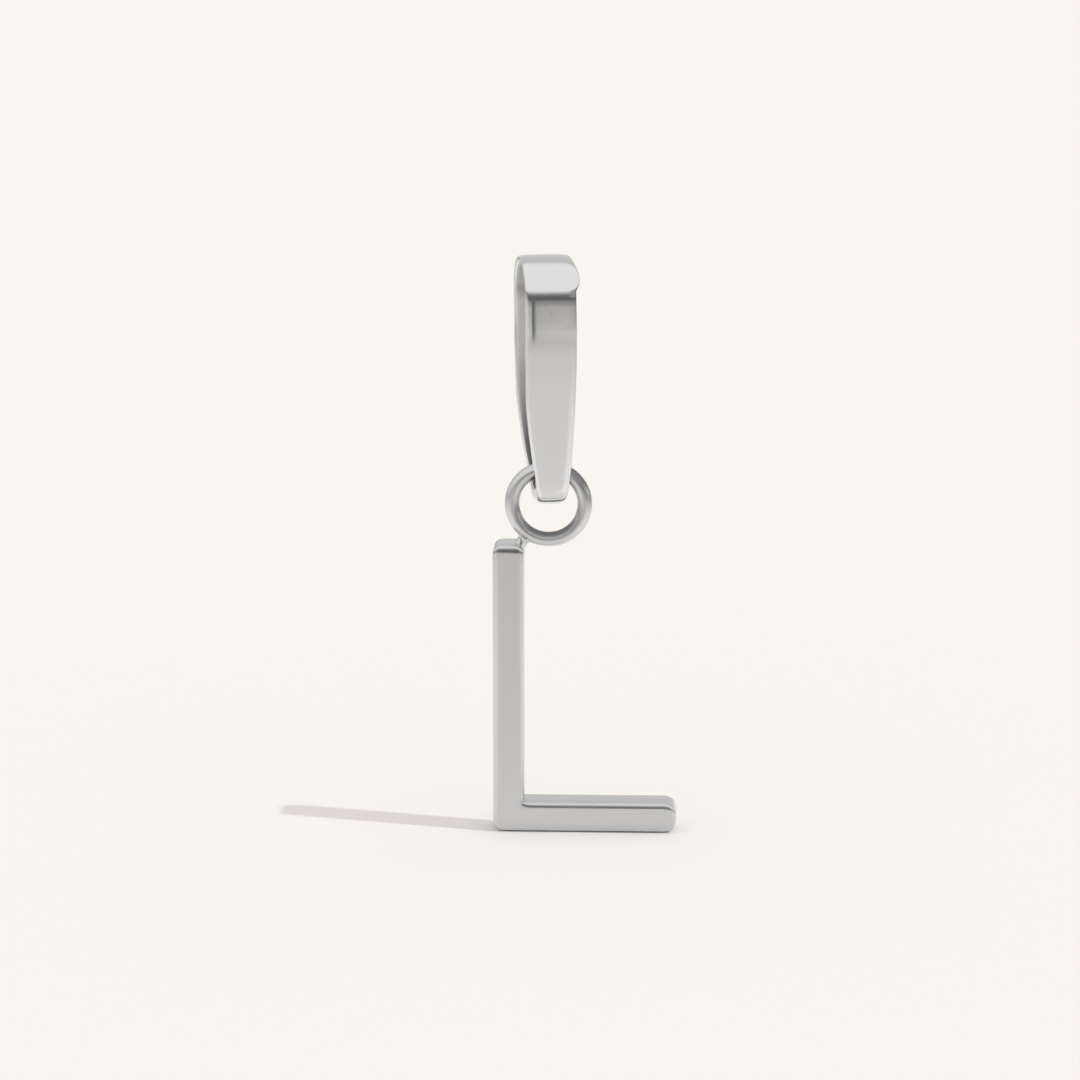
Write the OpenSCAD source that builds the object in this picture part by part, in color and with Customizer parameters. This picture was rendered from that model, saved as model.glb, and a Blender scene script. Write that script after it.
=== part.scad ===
// Block letter L on a soldered ring, hung in a folded strip bail.
// Origin where the chain bears, at the inner top of the bail.
// The letter's front faces -Y, +X is to its right and +Z is up.

/* [Letter] */
// Height of the letter
letter_h = 13.4; // [9:0.1:20]
// Width of the letter along its foot
letter_w = 8.32; // [5:0.02:12]
// Width of the upright stroke
stem_w = 1.4; // [1.1:0.05:2.4]
// Height of the foot stroke
foot_h = 1.38; // [1.2:0.02:2.4]
// Thickness of both strokes from front to back
letter_t = 1.55; // [1:0.05:2.4]
// Rounding of every edge of the strokes
edge_r = 0.3; // [0.1:0.02:0.34]
// Corner radius at the free end of the foot
toe_r = 0.55; // [0.35:0.01:0.59]
// Corner radius at the top left of the upright
head_r = 0.38; // [0.35:0.01:0.54]
// Corner radius at the lower left, where the strokes meet
heel_r = 0.43; // [0.35:0.01:0.54]

/* [Ring] */
// Outer diameter of the ring
ring_od = 3.94; // [3.8:0.02:5]
// Wire diameter of the ring
ring_wire = 0.66; // [0.5:0.02:0.72]
// Direction of the ring's centre from the letter's corner, above the horizontal
ring_lean = 56; // [40:1:75]
// Gap between the ring and the letter's corner, filled by solder
solder_gap = 0.24; // [0.1:0.02:0.3]
// Diameter of the solder neck
solder_d = 0.54; // [0.4:0.02:0.64]

/* [Bail] */
// Height of the bail over all
bail_h = 11.4; // [9:0.01:16]
// Outer radius of the bend that holds the chain
bend_r = 1.75; // [1.6:0.01:2.4]
// Thickness of the strip
strip_t = 0.4; // [0.3:0.01:0.55]
// Width of the strip below the bend
strip_w = 2.25; // [1.9:0.01:3]
// Widening of the strip over the bend, on its right side
shoulder_w = 0.2; // [0:0.02:0.4]
// Upright stretch of the strip below the bend
upright_h = 1.2; // [0.5:0.1:2.5]
// Radius of the soft curve where the strip starts to lean in
ease_r = 16; // [8:0.5:30]
// Room between the ring's wire and the strands before and behind it
ring_play = 0.54; // [0.45:0.01:0.7]
// Gap between the ring's wire and the sole of the bail that it hangs on
rest_gap = 0.5; // [0.4:0.01:0.54]
// Thickness of the bail's sole
sole_t = 0.8; // [0.5:0.01:1]
// Room between the bail's foot and each side of the ring's hole
foot_gap = 0.6; // [0.5:0.01:0.8]
// Turn of the bail about the vertical
bail_turn = 6; // [0:1:10]
// Further turn of its cut sides, as the strip is folded a little askew
bail_skew = 6; // [0:1:8]
// Lean of its sides, which puts the foot to the right of the chain's seat
bail_lean = 1; // [0:0.5:2]

/* [Hidden] */

// Width of the strip from the ring up to the bend: share of the height between them,
// share of the way from foot_w to strip_w on the right side, and that on the left.
STRAND_ROWS = [
    [0.00, 0.20, 0.20],
    [0.05, 0.34, 0.38],
    [0.16, 0.47, 0.65],
    [0.27, 0.61, 0.88],
    [0.44, 0.80, 1.10],
    [0.67, 0.95, 1.10],
    [0.85, 1.00, 1.03]
];
// Width of the bail below the ring's wire: share of that height, share of foot_w.
FOOT_ROWS = [
    [0.00, 0.92],
    [0.14, 0.96],
    [0.29, 0.98],
    [0.50, 1.01],
    [0.75, 1.06]
];
// Right side over the bend: share of bend_r above its centre, share of shoulder_w added.
BEND_ROWS = [
    [0.18, 0.00],
    [0.30, 0.40],
    [0.44, 0.95],
    [0.62, 1.00],
    [0.82, 0.55],
    [1.00, 0.05]
];

ring_r = (ring_od - ring_wire) / 2;
ring_id = ring_od - 2 * ring_wire;
foot_w = ring_id - 2 * foot_gap;

// Heights of the bail, down from the chain's seat.
bend_z = strip_t - bend_r;
bail_z = strip_t - bail_h;
seat_r = ring_wire / 2 + ring_play;
foot_r = seat_r + strip_t;
foot_z = bail_z + foot_r;
seat_z = bail_z + sole_t + seat_r;
wire_down = bail_z + sole_t + rest_gap + ring_wire / 2;

// Places of the ring and the letter, down from the ring's top wire.
ring_x = -wire_down * tan(bail_lean);
ring_z = wire_down - ring_r;
neck_l = edge_r + solder_gap + ring_od / 2;
corner_x = ring_x - neck_l * cos(ring_lean);
corner_z = ring_z - neck_l * sin(ring_lean);
stem_right = corner_x + edge_r;
stem_left = stem_right - stem_w;
letter_top = corner_z + edge_r;
letter_bottom = letter_top - letter_h;
toe_right = stem_left + letter_w;

ARC_STEPS = 20;
CORNER_STEPS = 4;
// Depth that clears the bail on each side when its outline is cut
SPAN = 2 * (bend_r + strip_w);

// Points of an arc about [cx, cy], from angle a to angle b.
function arc(cx, cy, r, a, b, steps) =
    [for (i = [0:steps]) let (t = a + (b - a) * i / steps) [cx + r * cos(t), cy + r * sin(t)]];

// Lean of a straight strand that leaves the ease curve and touches the foot circle.
function lean(r_top, drop, ease, r_foot) =
    let (across = ease - r_top, reach = norm([across, drop]))
    atan2(drop, across) - acos((ease - r_foot) / reach);

// Half of a loop's side view, from its top down to its bottom, on the side where y > 0:
// a bend, an upright stretch, a soft curve, a leaning strand and a round foot.
function half_loop(r_top, ease, r_foot, z_foot) =
    let (
        z_ease = bend_z - upright_h,
        tilt = lean(r_top, z_ease - z_foot, ease, r_foot)
    )
    concat(
        arc(0, bend_z, r_top, 90, 0, ARC_STEPS),
        arc(r_top - ease, z_ease, ease, 0, -tilt, 4),
        arc(0, z_foot, r_foot, -tilt, -90, ARC_STEPS)
    );

// The half and its mirror image, without repeating the two points on the middle line.
function whole_loop(half) =
    concat(half, [for (i = [len(half) - 2:-1:1]) [-half[i][0], half[i][1]]]);

// Outline of the letter across X and up Z, drawn in by the edge rounding
function letter_outline() =
    let (left = stem_left + edge_r, bottom = letter_bottom + edge_r)
    let (right = toe_right - edge_r, toe = toe_r - edge_r, toe_top = letter_bottom + foot_h - edge_r)
    let (head = head_r - edge_r, heel = heel_r - edge_r, top = letter_top - edge_r)
    concat(
        arc(left + heel, bottom + heel, heel, 180, 270, CORNER_STEPS),
        arc(right - toe, bottom + toe, toe, -90, 0, CORNER_STEPS),
        arc(right - toe, toe_top - toe, toe, 0, 90, CORNER_STEPS),
        [[stem_right - edge_r, toe_top], [stem_right - edge_r, top]],
        arc(left + head, top - head, head, 90, 180, CORNER_STEPS)
    );

// Upright and foot of the letter, with every edge rounded
module strokes() {
    minkowski() {
        rotate([90, 0, 0]) linear_extrude(letter_t - 2 * edge_r, center = true)
            polygon(letter_outline());
        sphere(edge_r, $fn = 24);
    }
}

// Round ring that stands in the letter's own plane
module ring() {
    translate([ring_x, 0, ring_z]) rotate([90, 0, 0])
        rotate_extrude($fn = 96) translate([ring_r, 0]) circle(d = ring_wire, $fn = 32);
}

// Neck of solder between the ring's wire and the letter's corner
module solder_neck() {
    translate([corner_x, 0, corner_z]) rotate([0, 90 - ring_lean, 0])
        cylinder(d = solder_d, h = neck_l - ring_r, $fn = 32);
}

module letter_with_ring() {
    color("silver") union() {
        strokes();
        ring();
        solder_neck();
    }
}

// Points of one side of the bail, up from the foot: half width, height.
// The column is the one of STRAND_ROWS that holds that side's shares.
function side_points(column) = concat(
    [for (row = FOOT_ROWS) [foot_w * row[1] / 2, bail_z + row[0] * (wire_down - bail_z)]],
    [for (row = STRAND_ROWS)
        [(foot_w + (strip_w - foot_w) * row[column]) / 2, wire_down + row[0] * (bend_z - wire_down)]]
);

// Front outline of the bail, as a polygon across X and up Z
module bail_outline() {
    left = side_points(2);
    polygon(concat(
        side_points(1),
        [for (row = BEND_ROWS) [strip_w / 2 + shoulder_w * row[1], bend_z + row[0] * bend_r]],
        [[-strip_w / 2, strip_t]],
        [for (i = [len(left) - 1:-1:0]) [-left[i][0], left[i][1]]]
    ));
}

// Folded strip: the side view of the loop, cut to the front outline
module bail() {
    outer = whole_loop(half_loop(bend_r, ease_r, foot_r, foot_z));
    inner = whole_loop(half_loop(bend_r - strip_t, ease_r - strip_t, seat_r, seat_z));
    color("silver") translate([ring_x, 0, 0]) rotate([0, 0, bail_turn]) intersection() {
        rotate([90, 0, 90]) linear_extrude(SPAN, center = true) difference() {
            polygon(outer);
            polygon(inner);
        }
        translate([-ring_x, 0, 0]) rotate([0, -bail_lean, bail_skew]) rotate([90, 0, 0])
            linear_extrude(SPAN, center = true) bail_outline();
    }
}

letter_with_ring();
bail();
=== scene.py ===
from math import acos, atan2, cos, hypot, pi, radians, sin, sqrt, tan

import bpy
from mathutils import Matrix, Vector


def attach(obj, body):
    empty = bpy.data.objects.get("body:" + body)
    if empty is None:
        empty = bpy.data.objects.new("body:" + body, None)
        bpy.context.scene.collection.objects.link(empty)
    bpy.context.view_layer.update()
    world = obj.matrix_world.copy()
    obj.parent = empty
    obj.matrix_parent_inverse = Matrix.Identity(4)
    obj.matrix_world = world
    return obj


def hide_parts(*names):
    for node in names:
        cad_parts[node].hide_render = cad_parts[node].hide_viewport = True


# A block letter L soldered to a round ring, which hangs in a folded strip bail, all polished silver.
# Lengths in the dictionaries are in millimetres and angles in degrees.
mm = 0.001
tiny = 0.01 * mm  # two places nearer than this are taken as one

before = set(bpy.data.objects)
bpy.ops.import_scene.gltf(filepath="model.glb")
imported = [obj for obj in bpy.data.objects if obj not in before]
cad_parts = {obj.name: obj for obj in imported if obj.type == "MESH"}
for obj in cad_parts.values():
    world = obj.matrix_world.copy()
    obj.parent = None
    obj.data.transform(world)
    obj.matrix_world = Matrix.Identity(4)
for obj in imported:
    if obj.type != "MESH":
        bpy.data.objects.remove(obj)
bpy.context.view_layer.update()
print("frame loaded with", len(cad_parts), "solids")


# Helpers for pieces and their meshes

def freshPiece(name):
    piece = bpy.context.view_layer.objects.active
    piece.name = name
    piece.data.name = name
    return piece


def selectOnly(piece):
    bpy.ops.object.select_all(action="DESELECT")
    piece.select_set(True)
    bpy.context.view_layer.objects.active = piece


def applyPlace(piece):
    selectOnly(piece)
    bpy.ops.object.transform_apply(location=True, rotation=True, scale=True)


def editPiece(piece, mode):
    selectOnly(piece)
    bpy.ops.object.mode_set(mode="EDIT")
    bpy.ops.mesh.select_mode(type=mode)


def pickEdges(piece, wanted):
    bpy.ops.mesh.select_all(action="DESELECT")
    bpy.ops.object.mode_set(mode="OBJECT")
    verts = piece.data.vertices
    for edge in piece.data.edges:
        edge.select = bool(wanted(verts[edge.vertices[0]].co, verts[edge.vertices[1]].co))
    bpy.ops.object.mode_set(mode="EDIT")


def pickFaces(piece, wanted):
    bpy.ops.mesh.select_all(action="DESELECT")
    bpy.ops.object.mode_set(mode="OBJECT")
    for face in piece.data.polygons:
        face.select = bool(wanted(face.center, face.normal))
    bpy.ops.object.mode_set(mode="EDIT")


def pushOut(x, y, z):
    bpy.ops.mesh.extrude_region_move(TRANSFORM_OT_translate={"value": (x * mm, y * mm, z * mm)})


def turnOutwards():
    # Turns all faces outwards and leaves edit mode
    bpy.ops.mesh.select_all(action="SELECT")
    bpy.ops.mesh.normals_make_consistent(inside=False)
    bpy.ops.object.mode_set(mode="OBJECT")


def applyModifier(piece, kind, **values):
    bpy.context.view_layer.objects.active = piece
    modifier = piece.modifiers.new(kind.lower(), kind)
    for name, value in values.items():
        setattr(modifier, name, value)
    bpy.ops.object.modifier_apply(modifier=modifier.name)


def shadeSoft(piece, sharpest=40):
    selectOnly(piece)
    bpy.ops.object.shade_smooth_by_angle(angle=radians(sharpest))
    # Normals follow the wide faces, so a flat mirror finish reflects flat
    applyModifier(piece, "WEIGHTED_NORMAL", mode="FACE_AREA", weight=90, keep_sharp=True)


def between(rows, x):
    # Smooth curve through the rows of (place, value), level at both ends
    if x <= rows[0][0]:
        return rows[0][1]
    if x >= rows[-1][0]:
        return rows[-1][1]
    last = len(rows) - 1
    i = max(k for k in range(last) if rows[k][0] <= x)
    slopes = []
    for k in (i, i + 1):
        if k in (0, last):
            slopes.append(0.0)
            continue
        before = (rows[k][1] - rows[k - 1][1]) / (rows[k][0] - rows[k - 1][0])
        after = (rows[k + 1][1] - rows[k][1]) / (rows[k + 1][0] - rows[k][0])
        slopes.append(0.0 if before * after <= 0 else 2 * before * after / (before + after))
    step = rows[i + 1][0] - rows[i][0]
    t = (x - rows[i][0]) / step
    start = rows[i][1] * (1 + 2 * t) * (1 - t) ** 2 + slopes[0] * step * t * (1 - t) ** 2
    return start + rows[i + 1][1] * t * t * (3 - 2 * t) + slopes[1] * step * t * t * (t - 1)


def towards(azimuth, elevation):
    # Direction out from the pendant, azimuth from its front round to its right
    turn = radians(azimuth)
    rise = radians(elevation)
    return Vector((sin(turn) * cos(rise), -cos(turn) * cos(rise), sin(rise)))


# Camera, a little above and a touch to the right of the pendant

view = {
    "azimuth": 2.5,
    "elevation": 13.7,
    "roll": -0.1,
    "distance": 280.0,
    "target": (-0.22, 0.0, -12.7),
    "lens": 206.7,
    "sensor": 36.0,
    "nearest": 10.0,
    "farthest": 5000.0,
}

backwards = towards(view["azimuth"], view["elevation"])
bpy.ops.object.select_all(action="DESELECT")
bpy.ops.object.camera_add(location=(Vector(view["target"]) + backwards * view["distance"]) * mm)
camera = bpy.context.object
camera.name = "camera"
camera.rotation_euler = backwards.to_track_quat("Z", "Y").to_euler()
camera.rotation_euler.rotate_axis("Z", radians(view["roll"]))
camera.data.lens = view["lens"]
camera.data.sensor_width = view["sensor"]
camera.data.clip_start = view["nearest"] * mm
camera.data.clip_end = view["farthest"] * mm
bpy.context.scene.camera = camera
print("camera placed")


# Letter: two square strokes with rounded corners and soft polished edges

letter = {
    "left": -2.34,
    "right": 5.98,
    "bottom": -26.191,
    "top": -12.791,
    "stemWidth": 1.4,
    "footHeight": 1.38,
    "thickness": 1.55,
    "heelRadius": 0.44,
    "headRadius": 0.43,
    "neckRadius": 0.43,
    "toeRadius": 0.56,
    "cornerSteps": 10,
    # Edge of the strokes: a small radius, then a long slight roll on to the front and back
    "edgeRadius": 0.15,
    "edgeSteps": 8,
    "rollWidth": 0.28,
    "rollAngle": 15.0,
    "rollSteps": 6,
    "flatMargin": 0.04,  # keeps the wide face flat right up to the roll
    # Outline edges longer than this are cut up, so that the roll shades evenly along them
    "longEdge": 3.0,
    "longCuts": 24,
}

stemRight = letter["left"] + letter["stemWidth"]
footTop = letter["bottom"] + letter["footHeight"]


def near(point, x, z):
    return abs(point.x - x * mm) < tiny and abs(point.z - z * mm) < tiny


bpy.ops.object.select_all(action="DESELECT")
bpy.ops.mesh.primitive_cube_add(
    size=mm,
    location=((letter["left"] + stemRight) / 2 * mm, 0, (letter["bottom"] + footTop) / 2 * mm),
)
strokes = freshPiece("letter")
insets = []  # how far each one goes in from the side, and how far out towards the face
roll = radians(letter["rollAngle"])
tilts = [pi / 2 + (roll - pi / 2) * step / letter["edgeSteps"] for step in range(letter["edgeSteps"] + 1)]
for first, second in zip(tilts, tilts[1:]):
    inward = letter["edgeRadius"] * (sin(first) - sin(second))
    insets.append((inward, letter["edgeRadius"] * (cos(second) - cos(first))))
for step in range(letter["rollSteps"]):
    inward = letter["rollWidth"] / letter["rollSteps"]
    slope = tan(roll * (letter["rollSteps"] - 0.5 - step) / letter["rollSteps"])
    insets.append((inward, inward * slope))
insets.append((letter["flatMargin"], 0.0))
edgeHeight = sum(outward for inward, outward in insets)
strokes.scale = (letter["stemWidth"], letter["thickness"] - 2 * edgeHeight, letter["footHeight"])
applyPlace(strokes)
editPiece(strokes, "FACE")
pickFaces(strokes, lambda centre, normal: normal.z > 0.9)
pushOut(0, 0, letter["top"] - footTop)
pickFaces(strokes, lambda centre, normal: normal.x > 0.9 and centre.z < footTop * mm)
pushOut(letter["right"] - stemRight, 0, 0)
bpy.ops.mesh.select_all(action="SELECT")
bpy.ops.mesh.dissolve_limited(angle_limit=radians(1))
bpy.ops.mesh.select_mode(type="EDGE")
for x, z, radius in (
    (letter["left"], letter["bottom"], letter["heelRadius"]),
    (letter["left"], letter["top"], letter["headRadius"]),
    (stemRight, letter["top"], letter["neckRadius"]),
    (letter["right"], letter["bottom"], letter["toeRadius"]),
    (letter["right"], footTop, letter["toeRadius"]),
):
    pickEdges(strokes, lambda a, b: near(a, x, z) and near(b, x, z))
    bpy.ops.mesh.bevel(
        offset=radius * mm,
        segments=letter["cornerSteps"],
        profile=0.5,
        affect="EDGES",
        clamp_overlap=False,
    )
pickEdges(strokes, lambda a, b: abs(a.y - b.y) < tiny and (a - b).length > letter["longEdge"] * mm)
bpy.ops.mesh.subdivide(number_cuts=letter["longCuts"])
bpy.ops.mesh.select_mode(type="FACE")
pickFaces(strokes, lambda centre, normal: abs(normal.y) > 0.99)
for inward, outward in insets:
    bpy.ops.mesh.inset(thickness=inward * mm, depth=outward * mm, use_even_offset=True)
bpy.ops.mesh.select_all(action="SELECT")
bpy.ops.mesh.remove_doubles(threshold=tiny / 20)
turnOutwards()
shadeSoft(strokes)
print("letter made")


# Ring of round wire, and the neck of solder that runs from it to the letter's corner

ring = {
    "x": 0.1636,
    "z": -11.01,
    "radius": 1.64,
    "wire": 0.66,
    "stepsAround": 144,
    "stepsAcross": 48,
    "lean": 56.0,
    "cornerDistance": 2.51,
    "neckSides": 40,
    # Neck sections: place along the neck from the letter's corner, half width in the letter's
    # plane, half width from front to back
    "neck": (
        (-0.08, 0.29, 0.29),
        (0.16, 0.29, 0.29),
        (0.26, 0.275, 0.272),
        (0.35, 0.262, 0.258),
        (0.43, 0.262, 0.252),
        (0.49, 0.28, 0.255),
        (0.55, 0.32, 0.262),
        (0.61, 0.38, 0.27),
        (0.67, 0.45, 0.265),
        (0.76, 0.48, 0.22),
    ),
}

bpy.ops.object.select_all(action="DESELECT")
bpy.ops.mesh.primitive_torus_add(
    location=(ring["x"] * mm, 0, ring["z"] * mm),
    rotation=(pi / 2, 0, 0),
    major_radius=ring["radius"] * mm,
    minor_radius=ring["wire"] / 2 * mm,
    major_segments=ring["stepsAround"],
    minor_segments=ring["stepsAcross"],
)
hoop = freshPiece("ring")
applyPlace(hoop)

bpy.ops.object.select_all(action="DESELECT")
firstPlace, firstWide, firstDeep = ring["neck"][0]
bpy.ops.mesh.primitive_circle_add(
    vertices=ring["neckSides"], radius=mm, fill_type="NGON", location=(0, 0, firstPlace * mm)
)
neck = freshPiece("solder")
neck.scale = (firstWide, firstDeep, 1)
applyPlace(neck)
editPiece(neck, "FACE")
bpy.ops.mesh.select_all(action="SELECT")
for before, after in zip(ring["neck"], ring["neck"][1:]):
    pushOut(0, 0, after[0] - before[0])
    bpy.ops.transform.resize(
        value=(after[1] / before[1], after[2] / before[2], 1), center_override=(0, 0, after[0] * mm)
    )
turnOutwards()
lean = radians(ring["lean"])
neck.rotation_euler = (0, pi / 2 - lean, 0)
neck.location = (
    (ring["x"] - ring["cornerDistance"] * cos(lean)) * mm,
    0,
    (ring["z"] - ring["cornerDistance"] * sin(lean)) * mm,
)
applyPlace(neck)
for piece in (hoop, neck):
    shadeSoft(piece)
print("ring and solder made")


# Bail: a strip bent over the chain, tapering down to a narrow round foot that carries the ring

bail = {
    "height": 11.4,
    "bendRadius": 1.75,
    "thickness": 0.4,
    "sole": 0.8,
    "width": 2.25,
    "shoulder": 0.2,  # on the right side only
    "footWidth": 1.42,
    "upright": 1.2,
    "easeRadius": 16.0,
    "seatRadius": 0.87,
    "wireDown": -9.37,
    "turn": 6.0,
    "skew": 6.0,
    "lean": 1.0,
    # Section: rounding of the inner edges, its steps, and cuts across both wide faces
    "edgeRadius": 0.19,
    "edgeSteps": 7,
    "faceCuts": 11,
    # Outer face: a slight roll towards each cut side, then a small radius, over a low crown
    "rollWidth": 0.22,
    "rollDepth": 0.027,
    "sideRadius": 0.11,
    "rollTurn": 30.0,  # how far round the section's corner the roll reaches
    "crown": 0.02,
    # Steps along the loop, from the top of the bend down to the foot
    "bendSteps": 30,
    "uprightSteps": 4,
    "easeSteps": 6,
    "strandSteps": 20,
    "footSteps": 24,
    # Share of the way from the foot up to the wire, share of the foot's width
    "footRows": ((0.0, 0.92), (0.14, 0.96), (0.29, 0.98), (0.50, 1.01), (0.75, 1.06)),
    # Share of the way from the wire up to the bend, then share of the way from the foot's width
    # to the full one on the right side, and the same on the left
    "strandRows": (
        (0.0, 0.20, 0.20),
        (0.05, 0.34, 0.38),
        (0.16, 0.47, 0.65),
        (0.27, 0.61, 0.88),
        (0.44, 0.80, 1.10),
        (0.67, 0.95, 1.10),
        (0.85, 1.00, 1.03),
    ),
    # Share of the bend's radius above its centre, share of the shoulder that is added
    "bendRows": ((0.18, 0.0), (0.30, 0.40), (0.44, 0.95), (0.62, 1.0), (0.82, 0.55), (1.0, 0.05)),
    # Height and grey of the painted shade on the inside, whose silver is also rougher
    "innerPaintedShade": (
        (-11.0, 0.2),
        (-8.4, 0.28),
        (-6.0, 0.65),
        (-4.0, 0.82),
        (-1.9, 0.85),
        (-1.4, 0.6),
        (0.4, 0.58),
    ),
}

thick = bail["thickness"]
bendZ = thick - bail["bendRadius"]
bailZ = thick - bail["height"]
footRadius = bail["seatRadius"] + thick
footZ = bailZ + footRadius
seatLift = bail["sole"] - thick
easeZ = bendZ - bail["upright"]
across = bail["easeRadius"] - bail["bendRadius"]
drop = easeZ - footZ
tilt = atan2(drop, across) - acos((bail["easeRadius"] - footRadius) / hypot(across, drop))
strandTop = easeZ - bail["easeRadius"] * sin(tilt)
strandFoot = footZ - footRadius * sin(tilt)

footRows = [
    (bailZ + share * (bail["wireDown"] - bailZ), bail["footWidth"] * value)
    for share, value in bail["footRows"]
]
strandRows = [
    [bail["wireDown"] + row[0] * (bendZ - bail["wireDown"])]
    + [bail["footWidth"] + (bail["width"] - bail["footWidth"]) * value for value in row[1:]]
    for row in bail["strandRows"]
]
rightRows = footRows + [(z, right) for z, right, left in strandRows] + [(thick, bail["width"])]
leftRows = footRows + [(z, left) for z, right, left in strandRows] + [(thick, bail["width"])]
bendRows = [(bendZ + share * bail["bendRadius"], value) for share, value in bail["bendRows"]]


def spinOn(steps, angle, y, z):
    # The angle is negative, as Blender turns the other way when it has no window
    bpy.ops.mesh.spin(steps=steps, angle=-angle, center=(0, y * mm, z * mm), axis=(1, 0, 0))


# The section's outline, whose outer side is given its roll and crown
bpy.ops.object.select_all(action="DESELECT")
bpy.ops.mesh.primitive_plane_add(size=mm, location=(0, 0, thick / 2 * mm), rotation=(pi / 2, 0, 0))
strip = freshPiece("bailStrip")
strip.scale = (bail["width"], thick, 1)
applyPlace(strip)
editPiece(strip, "VERT")
bpy.ops.mesh.select_all(action="SELECT")
bpy.ops.mesh.bevel(
    offset=bail["edgeRadius"] * mm, segments=bail["edgeSteps"], profile=0.5, affect="VERTICES"
)
bpy.ops.mesh.select_all(action="SELECT")
bpy.ops.mesh.delete(type="ONLY_FACE")
pickEdges(strip, lambda a, b: abs(a.x - b.x) > bail["width"] / 2 * mm)
bpy.ops.mesh.subdivide(number_cuts=bail["faceCuts"])
bpy.ops.object.mode_set(mode="OBJECT")
innerSide = strip.vertex_groups.new(name="innerSide")  # 0 on the outer face, 1 on the inner one
halfWidth = bail["width"] / 2
edgeWidth = bail["sideRadius"] + bail["rollWidth"]
for vert in strip.data.vertices:
    innerSide.add([vert.index], 1 - vert.co.z / (thick * mm), "REPLACE")
    x, y, z = [value / mm for value in vert.co]
    if z < thick / 2:
        continue
    fromSide = halfWidth - abs(x)
    if fromSide < bail["edgeRadius"] - tiny / mm / 10:
        around = 1 - fromSide / bail["edgeRadius"]  # sine of the angle round the corner
        share = min(1.0, 1 - (1 - around) / (1 - sin(radians(bail["rollTurn"]))))
        if share < 0:
            fromSide = bail["sideRadius"] - share * bail["rollWidth"]
            down = bail["rollDepth"] * (1 + share) ** 2
        else:
            fromSide = bail["sideRadius"] * (1 - share)
            down = bail["rollDepth"] + bail["sideRadius"] * (1 - sqrt(1 - share * share))
        x = (halfWidth - fromSide) * (1 if x > 0 else -1)
        z = thick - down
    else:
        x *= (halfWidth - edgeWidth) / (halfWidth - bail["edgeRadius"])
    z -= bail["crown"] * (x / halfWidth) ** 2 * (z - thick / 2) / (thick / 2)
    vert.co = (x * mm, y * mm, z * mm)

# The outline is run down the front half of the loop
editPiece(strip, "EDGE")
bpy.ops.mesh.select_all(action="SELECT")
spinOn(bail["bendSteps"], pi / 2, 0, bendZ)
for step in range(bail["uprightSteps"]):
    pushOut(0, 0, -bail["upright"] / bail["uprightSteps"])
spinOn(bail["easeSteps"], tilt, across, easeZ)
strandStep = (strandTop - strandFoot) / cos(tilt) / bail["strandSteps"]
for step in range(bail["strandSteps"]):
    pushOut(0, strandStep * sin(tilt), -strandStep * cos(tilt))
spinOn(bail["footSteps"], pi / 2 - tilt, 0, footZ)
bpy.ops.object.mode_set(mode="OBJECT")

# Width by height, with the inner face lifted over the thicker sole
for vert in strip.data.vertices:
    x, y, z = [value / mm for value in vert.co]
    depth = innerSide.weight(vert.index)
    lift = min(1.0, max(0.0, (strandTop - z) / (strandTop - strandFoot)))
    z += seatLift * depth * lift
    half = between(rightRows if x > 0 else leftRows, z) / 2
    if x > 0:
        half += bail["shoulder"] * between(bendRows, z)
    fromSide = halfWidth - abs(x)
    if fromSide <= edgeWidth + tiny / mm / 10:
        wide = half - fromSide
    else:
        wide = (half - edgeWidth) * abs(x) / (halfWidth - edgeWidth)
    vert.co = ((wide if x > 0 else -wide) * mm, y * mm, z * mm)
for face in strip.data.polygons:
    inner = sum(innerSide.weight(vert) for vert in face.vertices)
    face.material_index = int(inner > 0.9 * len(face.vertices))

# Both halves, then the loop's skew, lean and turn
applyModifier(
    strip, "MIRROR", use_axis=(False, True, False), use_mirror_merge=True, merge_threshold=tiny / 5
)
strip.vertex_groups.clear()
editPiece(strip, "VERT")
turnOutwards()
skew = radians(bail["skew"])
for vert in strip.data.vertices:
    x = vert.co.x / cos(skew) - vert.co.y * tan(skew) - vert.co.z * tan(radians(bail["lean"]))
    vert.co.x = x - ring["x"] * mm
strip.rotation_euler = (0, 0, radians(bail["turn"]))
strip.location = (ring["x"] * mm, 0, 0)
applyPlace(strip)
shadeSoft(strip)
print("bail made")


# Helpers for nodes

def groupSockets(group, inputs, outputs):
    for name, kind, value in inputs:
        socket = group.interface.new_socket(name=name, in_out="INPUT", socket_type=kind)
        if value is not None:
            socket.default_value = value
    for name, kind in outputs:
        group.interface.new_socket(name=name, in_out="OUTPUT", socket_type=kind)


def addNode(tree, kind, place, **values):
    node = tree.nodes.new(kind)
    node.location = place
    for name, value in values.items():
        setattr(node, name, value)
    return node


def feed(tree, socket, value):
    # Links the socket to another one, or sets its number or colour
    if isinstance(value, bpy.types.NodeSocket):
        tree.links.new(value, socket)
    else:
        socket.default_value = value


def addMath(tree, kind, place, a, b=None):
    node = addNode(tree, "ShaderNodeMath", place, operation=kind)
    feed(tree, node.inputs[0], a)
    if b is not None:
        feed(tree, node.inputs[1], b)
    return node.outputs[0]


def mixColours(tree, place, share, first, second, blend="MIX"):
    # By number, as the node has sockets of the same name for numbers and vectors
    mix = addNode(tree, "ShaderNodeMix", place, data_type="RGBA", blend_type=blend)
    feed(tree, mix.inputs["Factor"], share)
    feed(tree, mix.inputs[6], first)
    feed(tree, mix.inputs[7], second)
    return mix.outputs[2]


def evenGrey(value):
    return (value, value, value, 1)


def softStep(tree, place, value, start, full):
    step = addNode(tree, "ShaderNodeMapRange", place, interpolation_type="SMOOTHSTEP")
    step.inputs["From Min"].default_value = start
    step.inputs["From Max"].default_value = full
    tree.links.new(value, step.inputs["Value"])
    return step.outputs["Result"]


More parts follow.
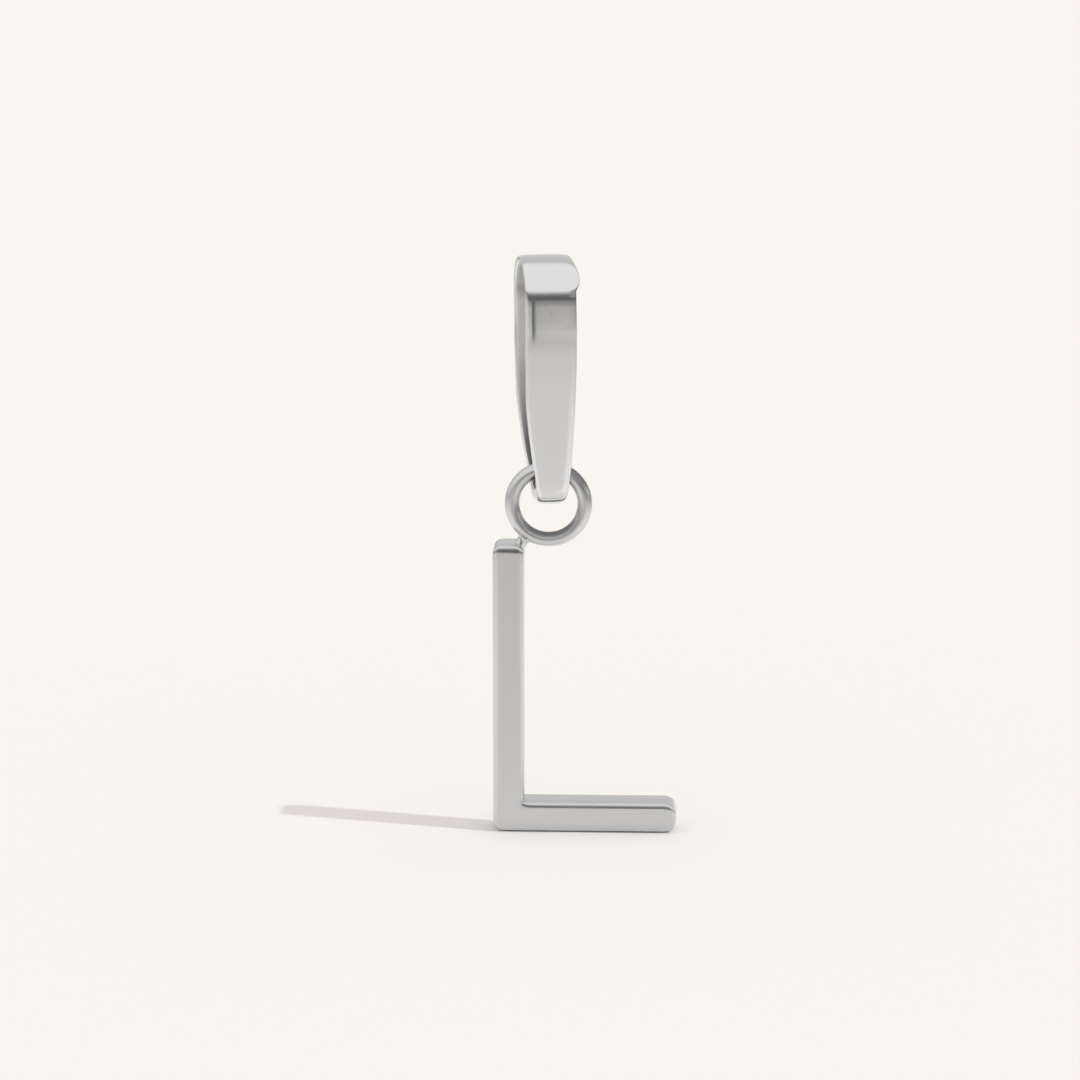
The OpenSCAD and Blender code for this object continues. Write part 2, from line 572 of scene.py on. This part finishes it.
def greyRamp(tree, place, value, rows):
    # Rows of (value, grey), from the lowest value to the highest
    start, end = rows[0][0], rows[-1][0]
    share = addNode(tree, "ShaderNodeMapRange", place)
    share.inputs["From Min"].default_value = start
    share.inputs["From Max"].default_value = end
    tree.links.new(value, share.inputs["Value"])
    ramp = addNode(tree, "ShaderNodeValToRGB", (place[0] + 180, place[1]))
    while len(ramp.color_ramp.elements) < len(rows):
        ramp.color_ramp.elements.new(0.5)
    for element, (at, grey) in zip(ramp.color_ramp.elements, rows):
        element.position = (at - start) / (end - start)
    # Colours come last, so that a change of order can't mix them up
    for element, (at, grey) in zip(ramp.color_ramp.elements, rows):
        element.color = evenGrey(grey)
    tree.links.new(share.outputs["Result"], ramp.inputs["Fac"])
    return ramp.outputs["Color"]


def axes(tree, place, output="Object", centre=None):
    # X, Y and Z of a point in metres, or in millimetres from a centre
    coordinates = addNode(tree, "ShaderNodeTexCoord", place)
    point = coordinates.outputs[output]
    if centre:
        centred = addNode(tree, "ShaderNodeMapping", (place[0] + 200, place[1]))
        centred.inputs["Location"].default_value = [-value for value in centre]
        centred.inputs["Scale"].default_value = (1 / mm, 1 / mm, 1 / mm)
        tree.links.new(point, centred.inputs["Vector"])
        point = centred.outputs["Vector"]
    split = addNode(tree, "ShaderNodeSeparateXYZ", (place[0] + 400, place[1]))
    tree.links.new(point, split.inputs["Vector"])
    return split.outputs


def distance(tree, place, a, b):
    squareA = addMath(tree, "MULTIPLY", place, a, a)
    squareB = addMath(tree, "MULTIPLY", (place[0], place[1] - 150), b, b)
    total = addMath(tree, "ADD", (place[0] + 150, place[1]), squareA, squareB)
    return addMath(tree, "SQRT", (place[0] + 300, place[1]), total)


# Finishes: polished silver with slow waves, hairlines and a few faint smears

polish = {
    "roughness": 0.14,
    "waveScale": 320.0,
    "waveHeight": 0.0016,
    "hairHeight": 0.00035,
    "hairScale": 18.0,
    # Turn and stretch of the two sets of hairlines
    "hairSets": (((0.3, 0.2, 0.9), (60, 900, 60)), ((0.5, 0.1, -0.7), (900, 60, 40))),
    # Noise at which a hairline starts and is full
    "hairStart": 0.62,
    "hairFull": 0.72,
    # Smears: scale, noise where they start and are full, share of the roughness at both
    "smearScale": 520.0,
    "smearStart": 0.35,
    "smearFull": 0.7,
    "smearLeast": 0.85,
    "smearMost": 1.25,
}

polishGroup = bpy.data.node_groups.new("polishMarks", "ShaderNodeTree")
groupSockets(
    polishGroup,
    [
        ("Coordinates", "NodeSocketVector", None),
        ("Roughness", "NodeSocketFloat", polish["roughness"]),
        ("Wave Scale", "NodeSocketFloat", polish["waveScale"]),
        ("Wave Height", "NodeSocketFloat", polish["waveHeight"]),
        ("Hairline Height", "NodeSocketFloat", polish["hairHeight"]),
        ("Smear Scale", "NodeSocketFloat", polish["smearScale"]),
    ],
    [("Roughness", "NodeSocketFloat"), ("Height", "NodeSocketFloat")],
)
tree = polishGroup
groupIn = addNode(tree, "NodeGroupInput", (-1100, 0))
groupOut = addNode(tree, "NodeGroupOutput", (700, 0))
waves = addNode(tree, "ShaderNodeTexNoise", (-800, 250))
waves.inputs["Detail"].default_value = 1.0
tree.links.new(groupIn.outputs["Coordinates"], waves.inputs["Vector"])
tree.links.new(groupIn.outputs["Wave Scale"], waves.inputs["Scale"])
waveHeight = addMath(tree, "MULTIPLY", (-500, 250), waves.outputs["Fac"], groupIn.outputs["Wave Height"])
hairSets = []
for index, (turn, stretch) in enumerate(polish["hairSets"]):
    row = -50 - 350 * index
    mapping = addNode(tree, "ShaderNodeMapping", (-900, row))
    mapping.inputs["Rotation"].default_value = turn
    mapping.inputs["Scale"].default_value = stretch
    hairs = addNode(tree, "ShaderNodeTexNoise", (-700, row))
    hairs.inputs["Scale"].default_value = polish["hairScale"]
    hairs.inputs["Detail"].default_value = 3.0
    lines = addNode(tree, "ShaderNodeValToRGB", (-500, row))
    lines.color_ramp.elements[0].position = polish["hairStart"]
    lines.color_ramp.elements[1].position = polish["hairFull"]
    tree.links.new(groupIn.outputs["Coordinates"], mapping.inputs["Vector"])
    tree.links.new(mapping.outputs["Vector"], hairs.inputs["Vector"])
    tree.links.new(hairs.outputs["Fac"], lines.inputs["Fac"])
    hairSets.append(lines.outputs["Color"])
hairTotal = addMath(tree, "ADD", (-150, -200), *hairSets)
hairHeight = addMath(tree, "MULTIPLY", (50, -200), hairTotal, groupIn.outputs["Hairline Height"])
height = addMath(tree, "SUBTRACT", (300, 150), waveHeight, hairHeight)
smears = addNode(tree, "ShaderNodeTexNoise", (-800, 550))
smears.inputs["Detail"].default_value = 4.0
tree.links.new(groupIn.outputs["Coordinates"], smears.inputs["Vector"])
tree.links.new(groupIn.outputs["Smear Scale"], smears.inputs["Scale"])
smearShare = addNode(tree, "ShaderNodeMapRange", (-500, 550))
smearShare.inputs["From Min"].default_value = polish["smearStart"]
smearShare.inputs["From Max"].default_value = polish["smearFull"]
smearShare.inputs["To Min"].default_value = polish["smearLeast"]
smearShare.inputs["To Max"].default_value = polish["smearMost"]
tree.links.new(smears.outputs["Fac"], smearShare.inputs["Value"])
roughness = addMath(
    tree, "MULTIPLY", (-200, 450), groupIn.outputs["Roughness"], smearShare.outputs["Result"]
)
tree.links.new(roughness, groupOut.inputs["Roughness"])
tree.links.new(height, groupOut.inputs["Height"])

finishes = {
    "letter silver": {"grey": 0.68, "roughness": 0.14, "waveHeight": 0.0016},
    "ring silver": {"grey": 0.72, "roughness": 0.3, "waveHeight": 0.0008},
    "bail silver": {"grey": 0.82, "roughness": 0.12, "waveHeight": 0.0014},
    "bail inner shaded silver": {"grey": 0.82, "roughness": 0.5, "waveHeight": 0.0014},
}


def silver(name):
    finish = finishes[name]
    material = bpy.data.materials.new(name)
    material.use_nodes = True
    tree = material.node_tree
    shader = tree.nodes["Principled BSDF"]
    shader.inputs["Base Color"].default_value = evenGrey(finish["grey"])
    shader.inputs["Metallic"].default_value = 1.0
    coordinates = addNode(tree, "ShaderNodeTexCoord", (-900, 0))
    marks = addNode(tree, "ShaderNodeGroup", (-650, 0), node_tree=polishGroup)
    marks.inputs["Roughness"].default_value = finish["roughness"]
    marks.inputs["Wave Height"].default_value = finish["waveHeight"]
    bump = addNode(tree, "ShaderNodeBump", (-350, -150))
    bump.inputs["Strength"].default_value = 1.0
    bump.inputs["Distance"].default_value = mm
    tree.links.new(coordinates.outputs["Object"], marks.inputs["Coordinates"])
    tree.links.new(marks.outputs["Roughness"], shader.inputs["Roughness"])
    tree.links.new(marks.outputs["Height"], bump.inputs["Height"])
    tree.links.new(bump.outputs["Normal"], shader.inputs["Normal"])
    return material


letterSilver = silver("letter silver")
ringSilver = silver("ring silver")
bailSilver = silver("bail silver")
innerShadedSilver = silver("bail inner shaded silver")

# Painted shade and dark reflection inside the ring and on its top right, laid into the silver's colour
ringPaintedShade = {
    "grey": 0.24,
    "sideShare": 0.35,
    # Inner and outer: share of the wire's radius, inwards from the wire's middle
    "innerStart": 0.1,
    "innerFull": 0.6,
    "outerStart": -0.1,
    "outerFull": -0.5,
    # Low, top and right: place up or to the right of the ring's middle
    "lowStart": 0.0,
    "lowFull": -1.2,
    "topStart": 0.3,
    "topFull": 1.1,
    "rightStart": -0.4,
    "rightFull": 0.6,
}
tree = ringSilver.node_tree
point = axes(tree, (-1900, 500), centre=(ring["x"], 0, ring["z"]))
reach = distance(tree, (-1300, 600), point["X"], point["Z"])
inward = addMath(tree, "SUBTRACT", (-850, 550), ring["radius"], reach)
inward = addMath(tree, "DIVIDE", (-700, 550), inward, ring["wire"] / 2)
inside = softStep(tree, (-550, 650), inward, ringPaintedShade["innerStart"], ringPaintedShade["innerFull"])
low = softStep(tree, (-700, 800), point["Z"], ringPaintedShade["lowStart"], ringPaintedShade["lowFull"])
low = addMath(tree, "MAXIMUM", (-550, 850), low, ringPaintedShade["sideShare"])
inside = addMath(tree, "MULTIPLY", (-400, 700), inside, low)
outside = softStep(tree, (-550, 450), inward, ringPaintedShade["outerStart"], ringPaintedShade["outerFull"])
high = softStep(tree, (-550, 250), point["Z"], ringPaintedShade["topStart"], ringPaintedShade["topFull"])
right = softStep(tree, (-550, 50), point["X"], ringPaintedShade["rightStart"], ringPaintedShade["rightFull"])
topRight = addMath(tree, "MULTIPLY", (-450, 200), high, right)
topRight = addMath(tree, "MULTIPLY", (-350, 350), outside, topRight)
# share of painted shade that darkens the ring's colour
shadeShare = addMath(tree, "MAXIMUM", (-200, 550), inside, topRight)
unshaded = evenGrey(finishes["ring silver"]["grey"])
ringColour = mixColours(tree, (-50, 550), shadeShare, unshaded, evenGrey(ringPaintedShade["grey"]))
tree.links.new(ringColour, tree.nodes["Principled BSDF"].inputs["Base Color"])

# Painted shade inside the bail, darkest in its foot and darker again in the bend
tree = innerShadedSilver.node_tree
point = axes(tree, (-1100, 400))
innerRows = [(z * mm, grey) for z, grey in bail["innerPaintedShade"]]
innerShadeColour = greyRamp(tree, (-500, 400), point["Z"], innerRows)
tree.links.new(innerShadeColour, tree.nodes["Principled BSDF"].inputs["Base Color"])

for piece, materials in (
    (strokes, [letterSilver]),
    (hoop, [ringSilver]),
    (neck, [letterSilver]),
    (strip, [bailSilver, innerShadedSilver]),
):
    for material in materials:
        piece.data.materials.append(material)
print("finishes made")


# Floor and light: a pale table, an even bright room and a small key lamp from the right.
# The silver mirrors its own painted greys of table and room: painted reflections that stand for a studio
# around it.

studio = {
    "floorSize": 3000.0,
    "floorGap": 0.03,
    "floorColour": (0.905, 0.885, 0.86),
    "floorRoughness": 0.9,
    "mirroredGrey": 0.885,  # the table as the silver reflects it
    "roomLight": (0.822, 0.80, 0.766),
    "keyElevation": 52.0,
    "keyAzimuth": 76.0,
    "keyDistance": 300.0,
    "keyAngle": 1.5,
    "keyStrength": 0.99,
    "keyColour": (0.92, 0.935, 1.0),
    # Table brightness seen in the silver, by distance from the pendant
    "floorFade": (
        (0, 0.92),
        (4, 0.91),
        (9.5, 0.865),
        (25, 0.82),
        (44, 0.80),
        (57, 0.78),
        (66, 0.70),
        (76, 0.57),
        (88, 0.66),
        (104, 0.80),
        (115, 0.70),
        (128, 0.38),
        (145, 0.20),
        (200, 0.14),
    ),
    # Half angle of the shade in front of the pendant, where it starts to fade out and where it ends
    "shadeStart": 12.0,
    "shadeEnd": 26.0,
    # The same for the table on the right
    "rightStart": 17.0,
    "rightEnd": 31.0,
    # Distance in front over which the shade narrows from the letter's width to the stem's
    "narrowStart": 6.0,
    "narrowEnd": 10.0,
    "sideTable": 1.02,  # grey of the bright table at the sides
    # Its reach, where it starts to fall off and where it ends
    "sideNear": 38.0,
    "sideFar": 66.0,
    # How much of it stays far off on the left, and the azimuth by which it has set in
    "leftFarShare": 0.35,
    "leftFull": -20.0,
    # Dark patch painted on the far table, seen only in the silver as a dark reflection: middle, half
    # width and fade out in azimuth, then its reach
    "patchMiddle": 1.0,
    "patchHalf": 3.4,
    "patchFade": 2.0,
    "patchStart": 80.0,
    "patchFull": 88.0,
    "patchGrey": 0.14,
    # Room brightness seen in the silver, by angle up from the front, over the top and down behind
    "roomBands": (
        (0, 0.14),
        (3, 0.14),
        (7, 0.22),
        (12, 0.46),
        (18, 0.88),
        (106, 0.91),
        (120, 0.58),
        (145, 0.62),
        (166, 0.70),
        (180, 0.70),
    ),
    # Grey of the low room at the sides, and the angles up between which it sets in
    "sideRoom": 0.3,
    "sideRoomTop": 18.0,
    "sideRoomFull": 8.0,
}

bpy.ops.object.select_all(action="DESELECT")
bpy.ops.mesh.primitive_plane_add(
    size=studio["floorSize"] * mm, location=(0, 0, (letter["bottom"] - studio["floorGap"]) * mm)
)
floor = freshPiece("floor")
applyPlace(floor)
floorMaterial = bpy.data.materials.new("floor")
floorMaterial.use_nodes = True
tree = floorMaterial.node_tree
shader = tree.nodes["Principled BSDF"]
shader.inputs["Roughness"].default_value = studio["floorRoughness"]
shader.inputs["Specular IOR Level"].default_value = 0.0
point = axes(tree, (-1700, 0))
farAway = distance(tree, (-1250, 250), point["X"], point["Y"])
fade = greyRamp(tree, (-900, 0), farAway, [(far * mm, grey) for far, grey in studio["floorFade"]])
ahead = addMath(tree, "MULTIPLY", (-1000, -250), point["Y"], -1.0)
around = addMath(tree, "ARCTAN2", (-850, -250), point["X"], ahead)

# Bright table beside the shade, whose sides run out from the stem or, close by, from the letter
narrow = softStep(tree, (-1500, -500), ahead, studio["narrowStart"] * mm, studio["narrowEnd"] * mm)
taken = addMath(tree, "MULTIPLY", (-1300, -500), narrow, (letter["right"] - stemRight) * mm)
rightLimit = addMath(tree, "SUBTRACT", (-1150, -500), letter["right"] * mm, taken)
toRight = addMath(tree, "SUBTRACT", (-1000, -450), point["X"], rightLimit)
toLeft = addMath(tree, "SUBTRACT", (-1000, -600), letter["left"] * mm, point["X"])
sides = []
for row, beyond, start, end in (
    (-400, toRight, studio["rightStart"], studio["rightEnd"]),
    (-550, toLeft, studio["shadeStart"], studio["shadeEnd"]),
):
    beyond = addMath(tree, "MAXIMUM", (-850, row), beyond, 0.0)
    beyond = addMath(tree, "ARCTAN2", (-700, row), beyond, ahead)
    sides.append(softStep(tree, (-550, row), beyond, radians(start), radians(end)))
sideways = addMath(tree, "MAXIMUM", (-400, -450), *sides)
nearby = softStep(tree, (-550, -700), farAway, studio["sideFar"] * mm, studio["sideNear"] * mm)
leftFar = softStep(tree, (-700, -1000), around, 0.0, radians(studio["leftFull"]))
leftFar = addMath(tree, "MULTIPLY", (-550, -1000), leftFar, studio["leftFarShare"])
nearby = addMath(tree, "MAXIMUM", (-400, -700), nearby, leftFar)
sideways = addMath(tree, "MULTIPLY", (-300, -500), sideways, nearby)
shaded = mixColours(tree, (-200, 0), sideways, fade, evenGrey(studio["sideTable"]))

# painted dark reflection on the far table, for glossy rays only
offMiddle = addMath(tree, "SUBTRACT", (-850, -1200), around, radians(studio["patchMiddle"]))
offMiddle = addMath(tree, "ABSOLUTE", (-700, -1200), offMiddle)
patchEdge = radians(studio["patchHalf"] + studio["patchFade"])
patchShare = softStep(tree, (-550, -1200), offMiddle, patchEdge, radians(studio["patchHalf"]))
patchFar = softStep(tree, (-550, -1400), farAway, studio["patchStart"] * mm, studio["patchFull"] * mm)
patchShare = addMath(tree, "MULTIPLY", (-400, -1300), patchShare, patchFar)
patched = mixColours(tree, (-50, -150), patchShare, shaded, evenGrey(studio["patchGrey"]))

lightPath = addNode(tree, "ShaderNodeLightPath", (-50, 350))
mirrored = mixColours(tree, (100, 0), 1.0, evenGrey(studio["mirroredGrey"]), patched, "MULTIPLY")
mirror = lightPath.outputs["Is Glossy Ray"]
floorMixed = mixColours(tree, (250, 100), mirror, (*studio["floorColour"], 1), mirrored)
tree.links.new(floorMixed, shader.inputs["Base Color"])
floor.data.materials.append(floorMaterial)

world = bpy.data.worlds.new("room")
bpy.context.scene.world = world
world.use_nodes = True
tree = world.node_tree
point = axes(tree, (-1500, 0), "Generated")  # in a world, the direction looked in
ahead = addMath(tree, "MULTIPLY", (-900, -100), point["Y"], -1.0)
angle = addMath(tree, "ARCTAN2", (-750, 0), point["Z"], ahead)
bands = greyRamp(tree, (-600, 0), angle, [(radians(turn), grey) for turn, grey in studio["roomBands"]])
around = addMath(tree, "ARCTAN2", (-750, -300), point["X"], ahead)
aside = addMath(tree, "ABSOLUTE", (-600, -300), around)
sideways = softStep(tree, (-450, -300), aside, radians(studio["shadeStart"]), radians(studio["shadeEnd"]))
low = softStep(tree, (-450, -500), angle, radians(studio["sideRoomTop"]), radians(studio["sideRoomFull"]))
sideShare = addMath(tree, "MULTIPLY", (-300, -400), sideways, low)
banded = mixColours(tree, (-150, -100), sideShare, bands, evenGrey(studio["sideRoom"]))
lightPath = addNode(tree, "ShaderNodeLightPath", (-450, 350))
mirror = lightPath.outputs["Is Glossy Ray"]
roomMixed = mixColours(tree, (0, 100), mirror, (*studio["roomLight"], 1), banded)
tree.links.new(roomMixed, tree.nodes["Background"].inputs["Color"])

towardsKey = towards(studio["keyAzimuth"], studio["keyElevation"])
bpy.ops.object.select_all(action="DESELECT")
bpy.ops.object.light_add(type="SUN", location=towardsKey * studio["keyDistance"] * mm)
key = bpy.context.object
key.name = "key"
key.rotation_euler = towardsKey.to_track_quat("Z", "Y").to_euler()
key.data.energy = studio["keyStrength"]
key.data.angle = radians(studio["keyAngle"])
key.data.color = studio["keyColour"]
key.visible_glossy = False  # no hot glints on the silver
# Only the letter shades the table
blockers = bpy.data.collections.new("shadow makers")
blockers.objects.link(strokes)
key.light_linking.blocker_collection = blockers
bpy.context.scene.view_settings.view_transform = "Standard"
print("floor and light made")


# Which body each piece moves with, which solid of the frame it hides, and the name of its finish's slot

for piece, body, node, slot in (
    (strokes, "letter", "letter_with_ring", "letter_silver"),
    (hoop, "letter", "letter_with_ring", "letter_silver"),
    (neck, "letter", "letter_with_ring", "letter_silver"),
    (strip, "bail", "bail", "bail_silver"),
):
    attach(piece, body)
    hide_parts(node)
